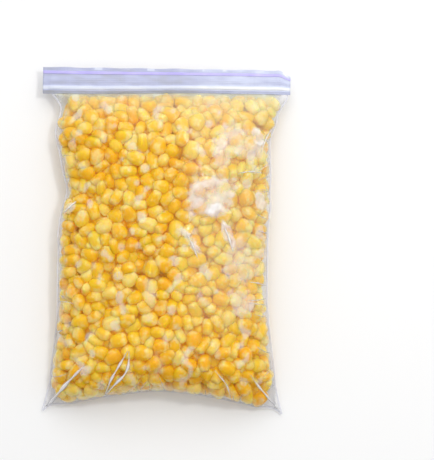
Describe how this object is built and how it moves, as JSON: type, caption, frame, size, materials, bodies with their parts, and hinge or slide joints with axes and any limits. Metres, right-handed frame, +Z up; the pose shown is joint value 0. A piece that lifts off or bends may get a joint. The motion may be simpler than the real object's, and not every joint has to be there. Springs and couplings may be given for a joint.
{
  "type": "clear press-seal bag of sweetcorn kernels",
  "caption": "Clear press-seal food bag lying on its back, filled to the zip with loose yellow sweetcorn kernels, with welded sides, pinched lower corners and a lilac zip band.",
  "frame": {"origin": "on the surface the bag lies on, under the middle of its box", "axes": "+Z up out of the surface through the front film, +Y along the bag's length towards the zip, +X across its width to the right"},
  "size_m": [0.2, 0.281, 0.05],
  "materials": {
    "kernels": "moist waxy skin, yellow to orange-yellow with pale cream kernels among them",
    "clear_film": "clear glossy polyethylene film, faintly hazy",
    "weld": "fused film, glossy and slightly milky",
    "zip_tape": "milky lilac-grey translucent polyethylene, satin",
    "zip_track": "milky pale lilac polyethylene, glossy",
    "pull_line": "violet coloured line, satin"
  },
  "bodies": {
    "root": {"kernel_fill": "kernels", "front_film": "clear_film", "back_film": "clear_film", "left_side_weld": "weld", "right_side_weld": "weld", "bottom_weld": "weld", "front_zip_tape": "zip_tape", "back_zip_tape": "zip_tape", "zip_channel": "zip_track", "zip_rib": "zip_track", "pull_line": "pull_line", "left_zip_end": "zip_tape", "right_zip_end": "zip_tape"}
  },
  "joints": []
}
